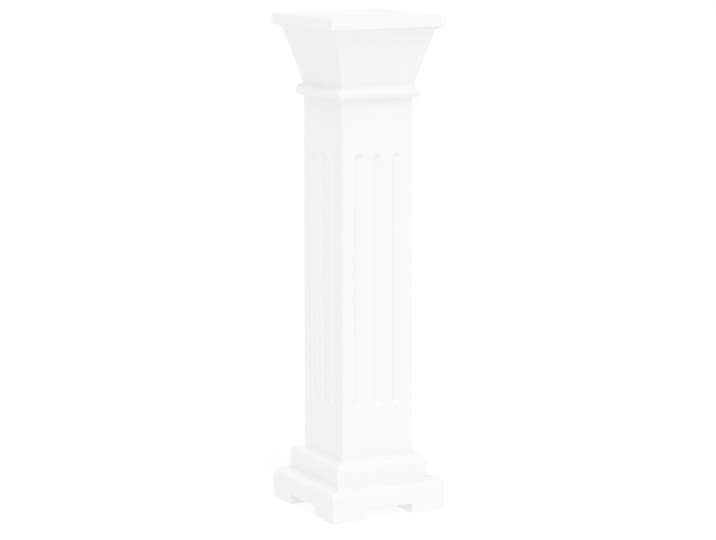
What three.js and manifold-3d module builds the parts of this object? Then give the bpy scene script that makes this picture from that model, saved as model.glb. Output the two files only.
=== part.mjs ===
// A column plant stand: a fluted square pillar between a footed plinth and a flared capital.
// Sizes are in millimetres. +Z is up, the front faces -Y, and the origin is the middle of
// the footprint, on the ground. Every piece has a square section, so its shape is a profile
// of half widths and heights, carried round a square with eased corners.

import * as THREE from "three";
import { mergeVertices } from "three/addons/utils/BufferGeometryUtils.js";
import Module from "manifold-3d";

const wasm = await Module();
wasm.setup();

// The whole stand, and the glue line between one piece and the next
const overallHeight = 660;
const overallWidth = 170;
const glueLine = 0.3;
const easedEdge = 1.5;

// Plinth: a slab on four square feet, left by two channels that cross under it
const plinthHeight = 41;
const footWidth = 50;
const channelHeight = 13;
const channelCornerRadius = 6;
const upperEdgeRadius = 8;

// Base block, between the plinth and the shaft
const blockWidth = 136;
const blockHeight = 32;

// Shaft, with its flutes
const shaftWidth = 106;
const flutesPerFace = 3;
const flutePitch = 28.5;
const fluteWidth = 12.5;
const fluteDepth = 3;
const fluteEndMargin = 70;

// Collar, with its half-round edge
const collarThickness = 17;

// Capital: a straight flare that ends in a cove under the plate
const capitalHeight = 77.5;
const capitalTopWidth = 151;
const coveRadius = 9;
const coveLip = 1;

// Top plate
const plateThickness = 15;
const plateEdgeRadius = 4;
const plateCornerRadius = 3;

// How finely the round stretches are cut into flats
const cornerSteps = 2;
const edgeDivisions = 2;
const beadDivisions = 5;
const fluteSides = 24;
const fluteEndSteps = 6;

const shaftHeight =
  overallHeight - plinthHeight - blockHeight - collarThickness - capitalHeight - plateThickness;

/** Turns a closed three.js geometry into a solid that can be joined and cut. */
function toSolid(geometry) {
  const bare = geometry.clone();
  bare.deleteAttribute("normal");
  bare.deleteAttribute("uv");
  const merged = mergeVertices(bare, 1e-4);
  return new wasm.Manifold(
    new wasm.Mesh({
      numProp: 3,
      vertProperties: new Float32Array(merged.attributes.position.array),
      triVerts: new Uint32Array(merged.index.array),
    }),
  );
}

/** Turns a solid back into a geometry. */
function toGeometry(solid) {
  const { vertProperties, triVerts } = solid.getMesh();
  const geometry = new THREE.BufferGeometry();
  geometry.setAttribute("position", new THREE.BufferAttribute(vertProperties, 3));
  geometry.setIndex(new THREE.BufferAttribute(triVerts, 1));
  return geometry;
}

/**
 * Carries a profile round a square. The profile's x is the half width at the height y, and
 * it runs from the bottom's middle to the top's middle. The lathe gives one column of points
 * for each point of the square's outline: a few round each corner, and none between corners.
 */
function squareTurned(profile, cornerRadius) {
  const columnsPerCorner = cornerSteps + 1;
  const columns = 4 * columnsPerCorner;
  const geometry = new THREE.LatheGeometry(profile, columns);
  const position = geometry.attributes.position;
  for (let index = 0; index < position.count; index += 1) {
    const column = Math.floor(index / profile.length) % columns;
    const corner = Math.floor(column / columnsPerCorner);
    const turn = corner + (column % columnsPerCorner) / cornerSteps;
    const { x: halfWidth, y: height } = profile[index % profile.length];
    const radius = Math.min(cornerRadius, halfWidth);
    const reach = (halfWidth - radius) * Math.SQRT2;
    const cornerAngle = (corner + 0.5) * (Math.PI / 2);
    const arcAngle = turn * (Math.PI / 2);
    position.setXYZ(
      index,
      reach * Math.sin(cornerAngle) + radius * Math.sin(arcAngle),
      height,
      reach * Math.cos(cornerAngle) + radius * Math.cos(arcAngle),
    );
  }
  return toSolid(geometry.rotateX(Math.PI / 2));
}

/** The profile of a block that is square at its foot and rounded along its upper edge. */
function roundedTopProfile(width, height, radius) {
  const half = width / 2;
  return new THREE.Path()
    .moveTo(0, 0)
    .lineTo(half, 0)
    .lineTo(half, height - radius)
    .absarc(half - radius, height - radius, radius, 0, Math.PI / 2)
    .lineTo(0, height);
}

/** One channel under the plinth: a tunnel along Y with rounded upper corners. */
function channelCutter() {
  const half = overallWidth / 2 - footWidth;
  const cornerAcross = half - channelCornerRadius;
  const cornerUp = channelHeight - channelCornerRadius;
  const outline = new THREE.Shape()
    .moveTo(-half, -channelHeight)
    .lineTo(half, -channelHeight)
    .absarc(cornerAcross, cornerUp, channelCornerRadius, 0, Math.PI / 2)
    .absarc(-cornerAcross, cornerUp, channelCornerRadius, Math.PI / 2, Math.PI);
  const length = overallWidth * 1.2;
  const tunnel = new THREE.ExtrudeGeometry(outline, {
    depth: length,
    bevelEnabled: false,
    curveSegments: edgeDivisions,
  });
  return tunnel.translate(0, 0, -length / 2).rotateX(Math.PI / 2);
}

/** The slab on its four feet. */
function plinth() {
  const profile = roundedTopProfile(overallWidth, plinthHeight, upperEdgeRadius);
  const slab = squareTurned(profile.getPoints(edgeDivisions), easedEdge);
  const alongY = toSolid(channelCutter());
  const alongX = toSolid(channelCutter().rotateZ(Math.PI / 2));
  return slab.subtract(alongY).subtract(alongX);
}

/** The block that the shaft stands on. */
function baseBlock() {
  const profile = roundedTopProfile(blockWidth, blockHeight - glueLine, upperEdgeRadius);
  return squareTurned(profile.getPoints(edgeDivisions), easedEdge);
}

/**
 * The tool that carves one flute: a round bar with ball ends, whose axis stands off the face
 * so that the groove is as wide and as deep as it should be.
 */
function fluteCutter(acrossFace, bottom, top) {
  const halfGroove = fluteWidth / 2;
  const barRadius = (halfGroove ** 2 + fluteDepth ** 2) / (2 * fluteDepth);
  const standOff = shaftWidth / 2 + barRadius - fluteDepth;
  const straight = top - bottom - fluteWidth;
  return new THREE.CapsuleGeometry(barRadius, straight, fluteEndSteps, fluteSides)
    .rotateX(Math.PI / 2)
    .translate(acrossFace, -standOff, (bottom + top) / 2);
}

/** The shaft, with the same flutes on its four faces. */
function shaft() {
  const half = shaftWidth / 2;
  const height = shaftHeight - glueLine;
  const profile = new THREE.Path().moveTo(0, 0).lineTo(half, 0).lineTo(half, height).lineTo(0, height);
  let body = squareTurned(profile.getPoints(), easedEdge);
  for (let face = 0; face < 4; face += 1) {
    for (let flute = 0; flute < flutesPerFace; flute += 1) {
      const acrossFace = (flute - (flutesPerFace - 1) / 2) * flutePitch;
      const cutter = fluteCutter(acrossFace, fluteEndMargin, height - fluteEndMargin);
      body = body.subtract(toSolid(cutter.rotateZ((face * Math.PI) / 2)));
    }
  }
  return body;
}

/** The collar: a thin plate whose edge is a half-round bead, standing proud of the shaft. */
function collar() {
  const height = collarThickness - glueLine;
  const radius = height / 2;
  const profile = new THREE.Path()
    .moveTo(0, 0)
    .lineTo(shaftWidth / 2, 0)
    .absarc(shaftWidth / 2, radius, radius, -Math.PI / 2, Math.PI / 2)
    .lineTo(0, height);
  return squareTurned(profile.getPoints(beadDivisions), easedEdge);
}

/** The capital: as wide as the shaft below, flaring in a straight line, then a cove. */
function capital() {
  const height = capitalHeight - glueLine;
  const bottomHalf = shaftWidth / 2;
  const slope = (capitalTopWidth / 2 - bottomHalf) / height;
  const lean = Math.atan(slope);
  const coveHeight = height - coveLip - coveRadius;
  const coveHalf = bottomHalf + slope * coveHeight + coveRadius / Math.cos(lean);
  const profile = new THREE.Path()
    .moveTo(0, 0)
    .lineTo(bottomHalf, 0)
    .absarc(coveHalf, coveHeight, coveRadius, Math.PI - lean, Math.PI / 2, true)
    .lineTo(coveHalf, height)
    .lineTo(0, height);
  return squareTurned(profile.getPoints(edgeDivisions), easedEdge);
}

/** The square plate that the plant stands on, rounded along its upper edge and at its corners. */
function topPlate() {
  const profile = roundedTopProfile(overallWidth, plateThickness - glueLine, plateEdgeRadius);
  return squareTurned(profile.getPoints(edgeDivisions), plateCornerRadius);
}

/** White matt paint on fibreboard; each piece has a coat of its own. */
function whitePaint() {
  return new THREE.MeshStandardMaterial({
    color: "#f3f3f1",
    roughness: 0.5,
    metalness: 0,
    flatShading: true,
  });
}

const stand = new THREE.Group();

/** Adds a piece that takes up the given height of the stack, above a glue line. */
function stack(name, solid, bottom) {
  const piece = new THREE.Mesh(toGeometry(solid), whitePaint());
  piece.name = name;
  piece.position.z = bottom;
  stand.add(piece);
}

const blockBottom = plinthHeight;
const shaftBottom = blockBottom + blockHeight;
const collarBottom = shaftBottom + shaftHeight;
const capitalBottom = collarBottom + collarThickness;
const plateBottom = capitalBottom + capitalHeight;

stack("plinth", plinth(), 0);
stack("base_block", baseBlock(), blockBottom + glueLine);
stack("shaft", shaft(), shaftBottom + glueLine);
stack("collar", collar(), collarBottom + glueLine);
stack("capital", capital(), capitalBottom + glueLine);
stack("top_plate", topPlate(), plateBottom + glueLine);

export default stand;
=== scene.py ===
"""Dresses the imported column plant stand: painted fibreboard pieces, camera, light and floor.

Everything is in metres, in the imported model's frame: +Z up, the front facing -Y, and the
origin at the middle of the footprint.
"""

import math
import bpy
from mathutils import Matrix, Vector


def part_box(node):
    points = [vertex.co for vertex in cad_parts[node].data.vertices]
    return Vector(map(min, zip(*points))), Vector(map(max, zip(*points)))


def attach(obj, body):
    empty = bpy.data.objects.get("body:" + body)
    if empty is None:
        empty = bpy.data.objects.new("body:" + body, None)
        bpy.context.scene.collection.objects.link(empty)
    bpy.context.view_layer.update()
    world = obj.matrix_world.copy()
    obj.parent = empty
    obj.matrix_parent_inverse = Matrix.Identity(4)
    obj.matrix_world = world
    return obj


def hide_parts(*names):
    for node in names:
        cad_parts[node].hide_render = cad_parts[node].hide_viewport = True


bl_info = {
    "name": "Column Plant Stand",
    "version": (1, 0, 0),
    "blender": (4, 5, 0),
    "location": "View3D > Sidebar > Plant Stand",
    "description": "Builds a fluted square pillar of painted fibreboard around its packed model",
    "category": "Add Mesh",
}

from itertools import pairwise

import bmesh
import bpy
from bpy.props import FloatProperty, FloatVectorProperty, IntProperty, PointerProperty
from mathutils import Euler, Matrix, Vector

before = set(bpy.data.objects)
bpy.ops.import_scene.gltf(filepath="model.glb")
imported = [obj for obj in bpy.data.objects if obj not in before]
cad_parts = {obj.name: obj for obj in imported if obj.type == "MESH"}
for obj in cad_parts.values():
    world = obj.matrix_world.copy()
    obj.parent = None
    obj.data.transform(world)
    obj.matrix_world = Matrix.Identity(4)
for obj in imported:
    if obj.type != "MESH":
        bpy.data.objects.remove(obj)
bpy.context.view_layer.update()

MM = 0.001
BODY = "root"

# Segments of the round stretches
ARRIS_SEGMENTS = 4
STEP_SEGMENTS = 10
BEAD_SEGMENTS = 24
COVE_SEGMENTS = 10
EASED_SEGMENTS = 3
FILLER_SEGMENTS = 3
FLUTE_SEGMENTS = 7
FLUTE_END_STEPS = 24

# Edges that turn by more than this stay sharp, as where a piece meets the next
SHARP_ANGLE = math.radians(50)

# Edges of the plinth's feet that turn by more than this are rounded
CORNER_ANGLE = math.radians(45)

# Faces that turn by less than this are joined into one
FLAT_ANGLE = math.radians(0.5)

# How upright a level face's normal is, at least
LEVEL = 0.99

# Two points closer than this are one point
SAME_POINT = 0.001 * MM

# Roughness of the paint at its smoothest, and at its dullest on sprayed and on routed board
SMOOTHEST_PAINT = 0.42
SPRAYED_PAINT = 0.5
ROUTED_PAINT = 0.62

# Heights of the paint's pebbles and of the fibre marks under it
PEEL_HEIGHT = 0.012 * MM
FIBRE_HEIGHT = 0.02 * MM

# The floor sheet. It lies a hair under the feet, so that the soles don't share its face.
FLOOR_RADIUS = 40
FLOOR_SEGMENTS = 128
FLOOR_GAP = 0.2 * MM


def linear(hex_colour):
    """An sRGB hex value as a linear colour with full alpha, as the shaders take it."""
    channels = [int(hex_colour[i : i + 2], 16) / 255 for i in (1, 3, 5)]
    return [c / 12.92 if c <= 0.04045 else ((c + 0.055) / 1.055) ** 2.4 for c in channels] + [1]


def length(name, description, millimetres):
    """A property that holds a length, with its default in millimetres."""
    return FloatProperty(
        name=name,
        description=description,
        default=millimetres * MM,
        min=0,
        precision=4,
        subtype="DISTANCE",
        unit="LENGTH",
    )


def colour(name, description, hex_colour):
    """A property that holds a colour, with its default as an sRGB hex value."""
    return FloatVectorProperty(
        name=name,
        description=description,
        default=linear(hex_colour),
        size=4,
        min=0,
        max=1,
        subtype="COLOR",
    )


def angle(name, description, degrees):
    """A property that holds an angle, with its default in degrees."""
    return FloatProperty(
        name=name,
        description=description,
        default=math.radians(degrees),
        subtype="ANGLE",
        unit="ROTATION",
    )


def strength(name, description, amount):
    """A property that holds how strong a light is."""
    return FloatProperty(name=name, description=description, default=amount, min=0, precision=3)


class PlantStandShape(bpy.types.PropertyGroup):
    """The mouldings, edges and flutes. The pieces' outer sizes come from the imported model."""

    arris: length("Arris", "Rounding of the upright corners", 1.5)
    step_rounding: length("Step rounding", "Quarter round along the two steps' upper edges", 8)
    joint_filler: length("Joint filler", "Hollow of filler and paint round the foot of a piece", 2)
    plate_edge: length("Plate edge", "Rounding along the top plate's upper edge", 4)
    plate_underside: length("Plate underside", "Rounding along the top plate's lower edge", 0.8)
    plate_corner: length("Plate corner", "Rounding of the top plate's four corners", 3)
    cove_radius: length("Cove radius", "Radius of the hollow under the top plate", 9)
    cove_lip: length("Cove lip", "Height of the upright lip above the cove", 1)
    foot_width: length("Foot width", "Width of each square foot", 50)
    channel_height: length("Channel height", "Height of the channels between the feet", 13)
    channel_corner: length("Channel corner", "Radius of the channels' upper corners", 6)
    foot_edge: length("Foot edge", "Rounding of the feet's and channels' edges", 0.8)
    flute_width: length("Flute width", "Width of each flute at the shaft's face", 12.5)
    flute_depth: length("Flute depth", "Depth of each flute in its middle", 3)
    flute_pitch: length("Flute pitch", "Distance from one flute's middle to the next", 28.5)
    flute_margin: length("Flute margin", "Plain shaft above and below the flutes", 70)
    flute_rim: length("Flute rim", "Rounding of the flutes' rims under the paint", 0.8)
    flute_count: IntProperty(
        name="Flutes", description="Number of flutes on each face", default=3, min=1, max=5
    )


class PlantStandFinish(bpy.types.PropertyGroup):
    """The paint."""

    paint: colour("Paint", "Colour of the paint where it lies thick", "#F4F4F4")
    thin_paint: colour("Thin paint", "Colour of the paint where it lies a little thinner", "#F1F1F1")
    peel_size: length("Peel size", "Width of the pebbles that the spray gun leaves", 4)
    fibre_size: length("Fibre size", "Width of the fibre marks on the routed edges", 2.5)
    cloud_size: length("Cloud size", "Width of the faint clouds in the coat", 90)


class PlantStandStage(bpy.types.PropertyGroup):
    """The camera, the light and the floor."""

    camera_distance: length("Camera distance", "From the column's axis, on the level", 3228)
    camera_height: length("Camera height", "Above the floor", 855.7)
    camera_turn: angle("Camera turn", "Round the column, from its front", -29.17)
    camera_pitch: angle("Camera pitch", "Below the level", 9.44)
    lens: FloatProperty(
        name="Lens", description="Focal length for a 36 mm sensor", default=123.3, unit="CAMERA"
    )
    floor: colour("Floor", "Colour of the lit floor sheet", "#7C7C7C")
    floor_glow: strength("Floor glow", "Light that comes up through the floor sheet", 0.8)
    walls: strength("Walls", "Light from the studio's walls, at the level", 1.0)
    ceiling: strength("Ceiling", "Light from the studio's ceiling, straight above", 0.557)
    softness: angle("Softness", "Width of each lamp, as seen from the column", 40)
    key: strength("Key", "Main lamp, high up over the front", 0.843)
    key_turn: angle("Key turn", "Round the column, from its front", -20)
    key_climb: angle("Key climb", "Above the level", 60)
    front: strength("Front", "Lamp in front, lower down", 0.12)
    front_turn: angle("Front turn", "Round the column, from its front", 0)
    front_climb: angle("Front climb", "Above the level", 30)
    side: strength("Side", "Lamp on the left", 0.135)
    side_turn: angle("Side turn", "Round the column, from its front", -120)
    side_climb: angle("Side climb", "Above the level", 45)
    back: strength("Back", "Lamp behind", 0.218)
    back_turn: angle("Back turn", "Round the column, from its front", 150)
    back_climb: angle("Back climb", "Above the level", 35)


def arc(centre, radius, start, end, segments):
    """Points of an arc from one angle to another, in degrees from the first axis."""
    angles = (math.radians(start + (end - start) * i / segments) for i in range(segments + 1))
    return [(centre[0] + radius * math.cos(a), centre[1] + radius * math.sin(a)) for a in angles]


def span(node, below):
    """Half the width of a CAD node, and its bottom and top, with the glue line under it closed."""
    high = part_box(node)[1]
    return high.x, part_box(below)[1].z, high.z


def rounded_square(bm, half, corner, height):
    """Adds a level square face with rounded corners."""
    place = Matrix.Translation((0, 0, height))
    verts = bmesh.ops.create_grid(bm, x_segments=1, y_segments=1, size=half, matrix=place)["verts"]
    bmesh.ops.bevel(
        bm,
        geom=verts,
        offset=corner,
        offset_type="OFFSET",
        segments=ARRIS_SEGMENTS,
        profile=0.5,
        affect="VERTICES",
        material=-1,
    )


def grow(bm, profile):
    """Carries the open outline up a moulding's profile of (half width, height) points, and closes it."""
    outline = [edge for edge in bm.edges if edge.is_boundary]
    for (half, height), (next_half, next_height) in pairwise(profile):
        made = bmesh.ops.extrude_edge_only(bm, edges=outline)["geom"]
        verts = [part for part in made if isinstance(part, bmesh.types.BMVert)]
        outline = [part for part in made if isinstance(part, bmesh.types.BMEdge) and part.is_boundary]
        bmesh.ops.scale(bm, verts=verts, vec=(next_half / half, next_half / half, 1))
        bmesh.ops.translate(bm, verts=verts, vec=(0, 0, next_height - height))
    bmesh.ops.edgeloop_fill(bm, edges=outline)


def filled_foot(half, bottom, filler):
    """The foot of a piece's profile, where a small hollow of filler closes the joint under it."""
    return arc((half + filler, bottom + filler), filler, 270, 180, FILLER_SEGMENTS)


def mould(bm, profile, corner):
    """A solid with a square plan: the profile runs from the foot's edge to the top's edge."""
    foot_half, foot_height = profile[0]
    widest = max(half for half, height in profile)
    rounded_square(bm, foot_half, corner * foot_half / widest, foot_height)
    grow(bm, profile)


def round_edges(bm, edges, radius, segments):
    """Rounds edges, convex or hollow."""
    bmesh.ops.bevel(
        bm,
        geom=edges,
        offset=radius,
        offset_type="OFFSET",
        segments=segments,
        profile=0.5,
        affect="EDGES",
        clamp_overlap=True,
        material=-1,
    )


def add_node(tree, kind, settings, inputs):
    """Adds a node, sets its properties, and sets or links its inputs."""
    node = tree.nodes.new(kind)
    for name, value in settings.items():
        setattr(node, name, value)
    for name, value in inputs.items():
        if isinstance(value, bpy.types.NodeSocket):
            tree.links.new(value, node.inputs[name])
        else:
            node.inputs[name].default_value = value
    return node


def empty_tree(owner):
    """Turns on the nodes of a material or of the world, and clears them away."""
    owner.use_nodes = True
    owner.node_tree.nodes.clear()
    return owner.node_tree


def paint_coat(name, finish, pebble_size, pebble_height, roughest):
    """Matt water-based paint. One noise clouds its colour and sheen, and a finer one pebbles it.

    All pieces share one material of each name.
    """
    if name in bpy.data.materials:
        return bpy.data.materials[name]
    material = bpy.data.materials.new(name)
    tree = empty_tree(material)
    place = add_node(tree, "ShaderNodeTexCoord", {}, {}).outputs["Object"]
    clouds = add_node(
        tree,
        "ShaderNodeTexNoise",
        {},
        {"Vector": place, "Scale": 1 / finish.cloud_size, "Detail": 3.0, "Roughness": 0.55},
    ).outputs["Fac"]
    tone = add_node(
        tree,
        "ShaderNodeMix",
        {"data_type": "RGBA"},
        {"Factor": clouds, "A": finish.paint, "B": finish.thin_paint},
    )
    pebbles = add_node(
        tree,
        "ShaderNodeTexNoise",
        {},
        {"Vector": place, "Scale": 1 / pebble_size, "Detail": 2.0, "Roughness": 0.5},
    ).outputs["Fac"]
    sheen = add_node(
        tree,
        "ShaderNodeMapRange",
        {},
        {
            "Value": clouds,
            "From Min": 0.3,
            "From Max": 0.7,
            "To Min": SMOOTHEST_PAINT,
            "To Max": roughest,
        },
    )
    relief = add_node(
        tree, "ShaderNodeBump", {}, {"Strength": 1.0, "Distance": pebble_height, "Height": pebbles}
    )
    surface = add_node(
        tree,
        "ShaderNodeBsdfPrincipled",
        {},
        {
            "Base Color": tone.outputs["Result"],
            "Roughness": sheen.outputs["Result"],
            "IOR": 1.5,
            "Normal": relief.outputs["Normal"],
        },
    )
    add_node(tree, "ShaderNodeOutputMaterial", {}, {"Surface": surface.outputs["BSDF"]})
    return material


def sprayed_board_paint(finish):
    """Matt paint sprayed on sanded fibreboard: an even dull white with a very fine orange peel.

    The real pebbles are about 1.5 mm wide. They are drawn wider, so that they show.
    """
    return paint_coat("sprayed_board_paint", finish, finish.peel_size, PEEL_HEIGHT, SPRAYED_PAINT)


def routed_board_paint(finish):
    """The same coat over routed fibreboard: the cut core drinks paint, so it dries duller and
    shows fibre marks, which are real at 1 mm and drawn wider, so that they show.
    """
    return paint_coat("routed_board_paint", finish, finish.fibre_size, FIBRE_HEIGHT, ROUTED_PAINT)


def routed_above(height):
    """A test for routed faces: those above a height, apart from the piece's level top."""
    return lambda face: face.calc_center_median().z > height and face.normal.z < LEVEL


def add_piece(context, bm, name, node, is_routed):
    """Makes the finished mesh an object that stands for a CAD node, painted all over."""
    bmesh.ops.remove_doubles(bm, verts=bm.verts, dist=SAME_POINT)
    bmesh.ops.recalc_face_normals(bm, faces=bm.faces)
    if not all(edge.is_manifold for edge in bm.edges):
        raise RuntimeError(f"{name} isn't closed")
    for face in bm.faces:
        face.smooth = True
        face.material_index = int(is_routed(face))
    for edge in bm.edges:
        edge.smooth = edge.calc_face_angle() < SHARP_ANGLE
    mesh = bpy.data.meshes.new(name)
    bm.to_mesh(mesh)
    bm.free()
    finish = context.scene.plant_stand_finish
    mesh.materials.append(sprayed_board_paint(finish))
    mesh.materials.append(routed_board_paint(finish))
    piece = bpy.data.objects.new(name, mesh)
    context.scene.collection.objects.link(piece)
    normals = piece.modifiers.new("Flat faces stay flat", "WEIGHTED_NORMAL")
    normals.mode = "FACE_AREA"
    normals.keep_sharp = True
    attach(piece, BODY)
    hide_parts(node)


def four_feet(bm, half, inner, corner, ceiling, bottom):
    """The channels' level ceiling, with a square foot drawn down from each of its corners."""
    rounded_square(bm, half, corner, ceiling)
    for normal in ((1, 0, 0), (-1, 0, 0), (0, 1, 0), (0, -1, 0)):
        bmesh.ops.bisect_plane(
            bm,
            geom=bm.verts[:] + bm.edges[:] + bm.faces[:],
            plane_co=Vector(normal) * inner,
            plane_no=normal,
        )
    corners = []
    ceilings = []
    for face in bm.faces:
        centre = face.calc_center_median()
        is_corner = min(abs(centre.x), abs(centre.y)) > inner
        (corners if is_corner else ceilings).append(face)
    feet = bmesh.ops.extrude_discrete_faces(bm, faces=corners)["faces"]
    verts = list({vert for foot in feet for vert in foot.verts})
    bmesh.ops.translate(bm, verts=verts, vec=(0, 0, bottom - ceiling))
    bmesh.ops.dissolve_faces(bm, faces=ceilings)


class PLANTSTAND_OT_plinth(bpy.types.Operator):
    """Builds the slab on its four feet"""

    bl_idname = "plant_stand.plinth"
    bl_label = "Plinth"

    def execute(self, context):
        shape = context.scene.plant_stand_shape
        low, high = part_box("plinth")
        half, ceiling = high.x, low.z + shape.channel_height
        inner = half - shape.foot_width
        bm = bmesh.new()
        four_feet(bm, half, inner, shape.arris, ceiling, low.z)
        shoulder = high.z - shape.step_rounding
        rounding = arc((half - shape.step_rounding, shoulder), shape.step_rounding, 0, 90, STEP_SEGMENTS)
        grow(bm, [(half, ceiling), *rounding])
        bmesh.ops.dissolve_limit(
            bm, angle_limit=FLAT_ANGLE, verts=bm.verts, edges=bm.edges, use_dissolve_boundaries=False
        )
        bmesh.ops.recalc_face_normals(bm, faces=bm.faces)
        upright = [
            edge
            for edge in bm.edges
            if all(max(abs(abs(v.co.x) - inner), abs(abs(v.co.y) - inner)) < SAME_POINT for v in edge.verts)
        ]
        round_edges(bm, upright, shape.foot_edge, EASED_SEGMENTS)
        hollow = [edge for edge in bm.edges if edge.calc_face_angle_signed() < -CORNER_ANGLE]
        round_edges(bm, hollow, shape.channel_corner, EASED_SEGMENTS * 2)
        sharp = [edge for edge in bm.edges if edge.calc_face_angle_signed() > CORNER_ANGLE]
        round_edges(bm, sharp, shape.foot_edge, EASED_SEGMENTS)
        on_upper_edge = routed_above(shoulder)

        def is_routed(face):
            centre = face.calc_center_median()
            in_channel = min(abs(centre.x), abs(centre.y)) < inner + shape.foot_edge
            return on_upper_edge(face) or (in_channel and centre.z < ceiling + shape.foot_edge)

        add_piece(context, bm, "footed_plinth", "plinth", is_routed)
        return {"FINISHED"}


class PLANTSTAND_OT_block(bpy.types.Operator):
    """Builds the block that the shaft stands on"""

    bl_idname = "plant_stand.block"
    bl_label = "Base block"

    def execute(self, context):
        shape = context.scene.plant_stand_shape
        half, bottom, top = span("base_block", "plinth")
        rounding = shape.step_rounding
        foot = filled_foot(half, bottom, shape.joint_filler)
        step = arc((half - rounding, top - rounding), rounding, 0, 90, STEP_SEGMENTS)
        bm = bmesh.new()
        mould(bm, [*foot, *step], shape.arris)
        add_piece(context, bm, "step_block", "base_block", routed_above(top - rounding))
        return {"FINISHED"}


def flute_section(shape):
    """Half of a flute's section, as (across, deep) points: from its middle, round its rim, to
    the flat face. The rim's arc touches both the groove's arc and the face.
    """
    half, depth, rim = shape.flute_width / 2, shape.flute_depth, shape.flute_rim
    radius = (half**2 + depth**2) / (2 * depth)
    standing = radius - depth
    rim_across = math.sqrt((radius + rim) ** 2 - (standing + rim) ** 2)
    meeting = math.degrees(math.atan2(standing + rim, rim_across))
    groove = arc((0, -standing), radius, 90, meeting, FLUTE_SEGMENTS)
    edge = arc((rim_across, rim), rim, 180 + meeting, 270, EASED_SEGMENTS)
    return [*groove, *edge[1:], (rim_across + rim, 0)]


def flute_mesh(shape, straight):
    """A round-ended groove about the origin, in the plane Y = 0, with its hollow towards +Y.

    Half its section is spun for the end, extruded to the middle and mirrored.
    """
    end = straight / 2
    bm = bmesh.new()
    section = [bm.verts.new((across, deep, end)) for across, deep in flute_section(shape)]
    lines = [bm.edges.new(pair) for pair in pairwise(section)]
    bmesh.ops.spin(
        bm,
        geom=section + lines,
        cent=(0, 0, end),
        axis=(0, -1, 0),
        angle=math.pi,
        steps=FLUTE_END_STEPS,
    )
    bmesh.ops.remove_doubles(bm, verts=bm.verts, dist=SAME_POINT)
    level = [
        edge
        for edge in bm.edges
        if edge.is_boundary and all(abs(vert.co.z - end) < SAME_POINT for vert in edge.verts)
    ]
    made = bmesh.ops.extrude_edge_only(bm, edges=level)["geom"]
    verts = [part for part in made if isinstance(part, bmesh.types.BMVert)]
    bmesh.ops.translate(bm, verts=verts, vec=(0, 0, -end))
    everything = bm.verts[:] + bm.edges[:] + bm.faces[:]
    bmesh.ops.mirror(bm, geom=everything, axis="Z", merge_dist=SAME_POINT)
    mesh = bpy.data.meshes.new("flute")
    bm.to_mesh(mesh)
    bm.free()
    return mesh


class PLANTSTAND_OT_shaft(bpy.types.Operator):
    """Builds the shaft with its flutes"""

    bl_idname = "plant_stand.shaft"
    bl_label = "Fluted shaft"

    def execute(self, context):
        shape = context.scene.plant_stand_shape
        half, bottom, top = span("shaft", "base_block")
        bm = bmesh.new()
        mould(bm, [*filled_foot(half, bottom, shape.joint_filler), (half, top)], shape.arris)

        # Each side is cut out inside a flat border, and filled again round the flutes
        border = 2 * shape.arris
        sides = sorted(bm.faces, key=lambda face: face.calc_area())[-4:]
        bmesh.ops.inset_individual(bm, faces=sides, thickness=border, use_even_offset=True)
        bmesh.ops.delete(bm, geom=sides, context="FACES_ONLY")
        low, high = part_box("shaft")
        straight = high.z - low.z - 2 * shape.flute_margin - shape.flute_width
        flute = flute_mesh(shape, straight)
        for side in range(4):
            turned = Matrix.Rotation(side * math.pi / 2, 4, "Z")
            for index in range(shape.flute_count):
                across = (index - (shape.flute_count - 1) / 2) * shape.flute_pitch
                place = turned @ Matrix.Translation((across, -half, (low.z + high.z) / 2))
                count = len(bm.verts)
                bm.from_mesh(flute)
                bmesh.ops.transform(bm, matrix=place, verts=bm.verts[count:])
            outward = turned @ Vector((0, -1, 0))
            outlines = [
                edge
                for edge in bm.edges
                if edge.is_boundary
                and all(abs(vert.co.dot(outward) - half) < SAME_POINT for vert in edge.verts)
            ]
            bmesh.ops.triangle_fill(bm, use_beauty=True, edges=outlines, normal=outward)
        bpy.data.meshes.remove(flute)

        def is_routed(face):
            centre = face.calc_center_median()
            across, out = sorted((abs(centre.x), abs(centre.y)))
            in_panel = out < half - SAME_POINT and across < half - border
            return in_panel and abs(face.normal.z) < LEVEL

        add_piece(context, bm, "fluted_shaft", "shaft", is_routed)
        return {"FINISHED"}


class PLANTSTAND_OT_collar(bpy.types.Operator):
    """Builds the collar with its half-round bead"""

    bl_idname = "plant_stand.collar"
    bl_label = "Bead collar"

    def execute(self, context):
        shape = context.scene.plant_stand_shape
        outer, bottom, top = span("collar", "shaft")
        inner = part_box("shaft")[1].x
        radius = outer - inner
        profile = [(inner, bottom), *arc((inner, top - radius), radius, -90, 90, BEAD_SEGMENTS)]
        bm = bmesh.new()
        mould(bm, profile, shape.arris)

        # Only the level faces, above and below, have their middles near the column's axis
        def is_routed(face):
            return face.calc_center_median().xy.length > inner / 2

        add_piece(context, bm, "bead_collar", "collar", is_routed)
        return {"FINISHED"}


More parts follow.
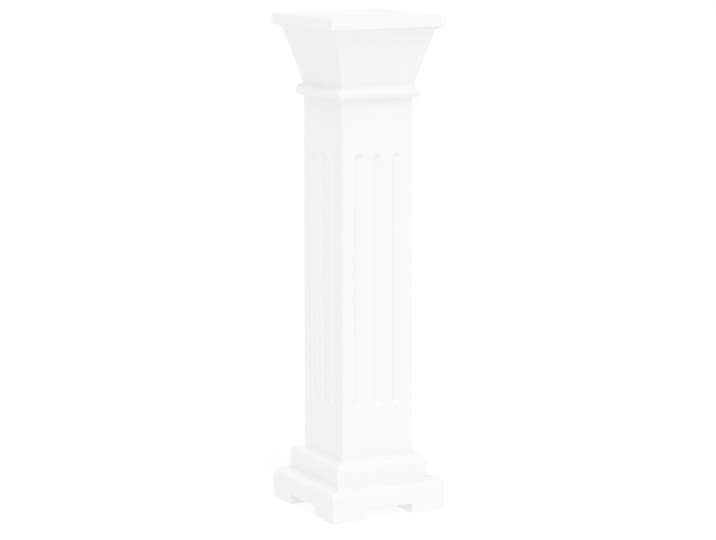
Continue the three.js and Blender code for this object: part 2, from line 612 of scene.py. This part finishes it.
class PLANTSTAND_OT_capital(bpy.types.Operator):
    """Builds the flared capital with the cove at its top"""

    bl_idname = "plant_stand.capital"
    bl_label = "Flared capital"

    def execute(self, context):
        shape = context.scene.plant_stand_shape
        outer, bottom, top = span("capital", "collar")
        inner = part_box("shaft")[1].x
        radius = shape.cove_radius
        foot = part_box("capital")[0].z
        rise = top - shape.cove_lip - radius - foot

        # The flare is the line from the capital's foot that touches the cove's circle
        run = outer - inner
        lean = math.acos(radius / math.hypot(run, rise)) - math.atan2(rise, run)
        flare = 180 - math.degrees(lean)
        cove = arc((outer, foot + rise), radius, flare, 90, COVE_SEGMENTS)

        # The filler's hollow touches the flare and the collar's bead, which falls away under it
        filler = shape.joint_filler
        reach = filler * (1 + math.sin(lean)) / math.cos(lean)
        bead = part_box("collar")[1].x - inner
        drop = bead - math.sqrt(bead**2 - reach**2)
        hollow = arc((inner + reach, bottom - drop + filler), filler, 270, flare, FILLER_SEGMENTS)
        bm = bmesh.new()
        mould(bm, [(inner, bottom), *hollow, *cove, (outer, top)], shape.arris)
        cove_bottom = cove[0][1]
        add_piece(context, bm, "flared_capital", "capital", routed_above(cove_bottom))
        return {"FINISHED"}


class PLANTSTAND_OT_top_plate(bpy.types.Operator):
    """Builds the square plate that the plant stands on"""

    bl_idname = "plant_stand.top_plate"
    bl_label = "Top plate"

    def execute(self, context):
        shape = context.scene.plant_stand_shape
        half, bottom, top = span("top_plate", "capital")
        upper, lower = shape.plate_edge, shape.plate_underside
        profile = [
            *arc((half - lower, bottom + lower), lower, -90, 0, EASED_SEGMENTS),
            *arc((half - upper, top - upper), upper, 0, 90, STEP_SEGMENTS),
        ]
        bm = bmesh.new()
        mould(bm, profile, shape.plate_corner)
        add_piece(context, bm, "square_top", "top_plate", lambda face: False)
        return {"FINISHED"}


def add_lamp(context, name, energy, turn, climb, width):
    """A far-off round soft lamp that shines on the column."""
    light = bpy.data.lights.new(name, "SUN")
    light.energy = energy
    light.angle = width
    out = Vector(
        (math.sin(turn) * math.cos(climb), -math.cos(turn) * math.cos(climb), math.sin(climb))
    )
    lamp = bpy.data.objects.new(name, light)
    lamp.rotation_euler = out.to_track_quat("Z", "Y").to_euler()
    context.scene.collection.objects.link(lamp)


def studio_light(stage):
    """Soft light from a pale studio, whose walls are brighter than its ceiling."""
    studio = bpy.data.worlds.new("studio_light")
    tree = empty_tree(studio)
    direction = add_node(tree, "ShaderNodeTexCoord", {}, {}).outputs["Generated"]
    height = add_node(tree, "ShaderNodeSeparateXYZ", {}, {"Vector": direction}).outputs["Z"]
    amount = add_node(
        tree, "ShaderNodeMapRange", {}, {"Value": height, "To Min": stage.walls, "To Max": stage.ceiling}
    ).outputs["Result"]
    light = add_node(
        tree, "ShaderNodeBackground", {}, {"Color": (1, 1, 1, 1), "Strength": amount}
    ).outputs["Background"]
    add_node(tree, "ShaderNodeOutputWorld", {}, {"Surface": light})
    return studio


def lit_acrylic_sheet(stage):
    """Opal acrylic, lit from below as on a studio table. It glows more than it scatters, so the
    column's shadow stays faint, and light reaches into the channels between the feet.
    """
    material = bpy.data.materials.new("lit_acrylic_sheet")
    tree = empty_tree(material)
    surface = add_node(
        tree,
        "ShaderNodeBsdfPrincipled",
        {},
        {
            "Base Color": stage.floor,
            "Roughness": 0.9,
            "Specular IOR Level": 0.0,
            "Emission Color": (1, 1, 1, 1),
            "Emission Strength": stage.floor_glow,
        },
    )
    add_node(tree, "ShaderNodeOutputMaterial", {}, {"Surface": surface.outputs["BSDF"]})
    return material


def add_camera(context, stage):
    """The photograph's view: from the left of the front, looking a little down."""
    lens = bpy.data.cameras.new("camera")
    lens.lens = stage.lens
    lens.sensor_fit = "HORIZONTAL"
    lens.sensor_width = 36
    lens.clip_end = 100
    camera = bpy.data.objects.new("camera", lens)
    turn, distance = stage.camera_turn, stage.camera_distance
    camera.location = (math.sin(turn) * distance, -math.cos(turn) * distance, stage.camera_height)
    camera.rotation_euler = Euler((math.pi / 2 - stage.camera_pitch, 0, turn))
    context.scene.collection.objects.link(camera)
    context.scene.camera = camera


def add_floor(context, stage):
    """A round level sheet that reaches far past the picture."""
    bm = bmesh.new()
    below = Matrix.Translation((0, 0, -FLOOR_GAP))
    bmesh.ops.create_circle(
        bm, cap_ends=True, segments=FLOOR_SEGMENTS, radius=FLOOR_RADIUS, matrix=below
    )
    mesh = bpy.data.meshes.new("floor")
    bm.to_mesh(mesh)
    bm.free()
    mesh.materials.append(lit_acrylic_sheet(stage))
    floor = bpy.data.objects.new("floor", mesh)
    context.scene.collection.objects.link(floor)


class PLANTSTAND_OT_stage(bpy.types.Operator):
    """Sets up the camera, the light and the floor"""

    bl_idname = "plant_stand.stage"
    bl_label = "Stage"

    def execute(self, context):
        scene = context.scene
        stage = scene.plant_stand_stage
        scene.view_settings.view_transform = "Standard"
        scene.world = studio_light(stage)
        add_camera(context, stage)
        width = stage.softness
        add_lamp(context, "key_lamp", stage.key, stage.key_turn, stage.key_climb, width)
        add_lamp(context, "front_lamp", stage.front, stage.front_turn, stage.front_climb, width)
        add_lamp(context, "side_lamp", stage.side, stage.side_turn, stage.side_climb, width)
        add_lamp(context, "back_lamp", stage.back, stage.back_turn, stage.back_climb, width)
        add_floor(context, stage)
        return {"FINISHED"}


OPERATORS = (
    PLANTSTAND_OT_stage,
    PLANTSTAND_OT_plinth,
    PLANTSTAND_OT_block,
    PLANTSTAND_OT_shaft,
    PLANTSTAND_OT_collar,
    PLANTSTAND_OT_capital,
    PLANTSTAND_OT_top_plate,
)


class PLANTSTAND_PT_panel(bpy.types.Panel):
    """Lists the pieces, the sizes and the finish"""

    bl_label = "Column plant stand"
    bl_space_type = "VIEW_3D"
    bl_region_type = "UI"
    bl_category = "Plant Stand"

    def draw(self, context):
        column = self.layout.column()
        for operator in OPERATORS:
            column.operator(operator.bl_idname)
        scene = context.scene
        for group in (scene.plant_stand_shape, scene.plant_stand_finish, scene.plant_stand_stage):
            for name in group.__annotations__:
                column.prop(group, name)


CLASSES = (PlantStandShape, PlantStandFinish, PlantStandStage, *OPERATORS, PLANTSTAND_PT_panel)


def register():
    """Makes the classes and their settings known."""
    for cls in CLASSES:
        bpy.utils.register_class(cls)
    bpy.types.Scene.plant_stand_shape = PointerProperty(type=PlantStandShape)
    bpy.types.Scene.plant_stand_finish = PointerProperty(type=PlantStandFinish)
    bpy.types.Scene.plant_stand_stage = PointerProperty(type=PlantStandStage)


def unregister():
    """Takes back what register does."""
    del bpy.types.Scene.plant_stand_stage
    del bpy.types.Scene.plant_stand_finish
    del bpy.types.Scene.plant_stand_shape
    for cls in reversed(CLASSES):
        bpy.utils.unregister_class(cls)


def main():
    """Builds the stage and every piece."""
    register()
    bpy.ops.plant_stand.stage()
    bpy.ops.plant_stand.plinth()
    bpy.ops.plant_stand.block()
    bpy.ops.plant_stand.shaft()
    bpy.ops.plant_stand.collar()
    bpy.ops.plant_stand.capital()
    bpy.ops.plant_stand.top_plate()


if __name__ == "__main__":
    main()
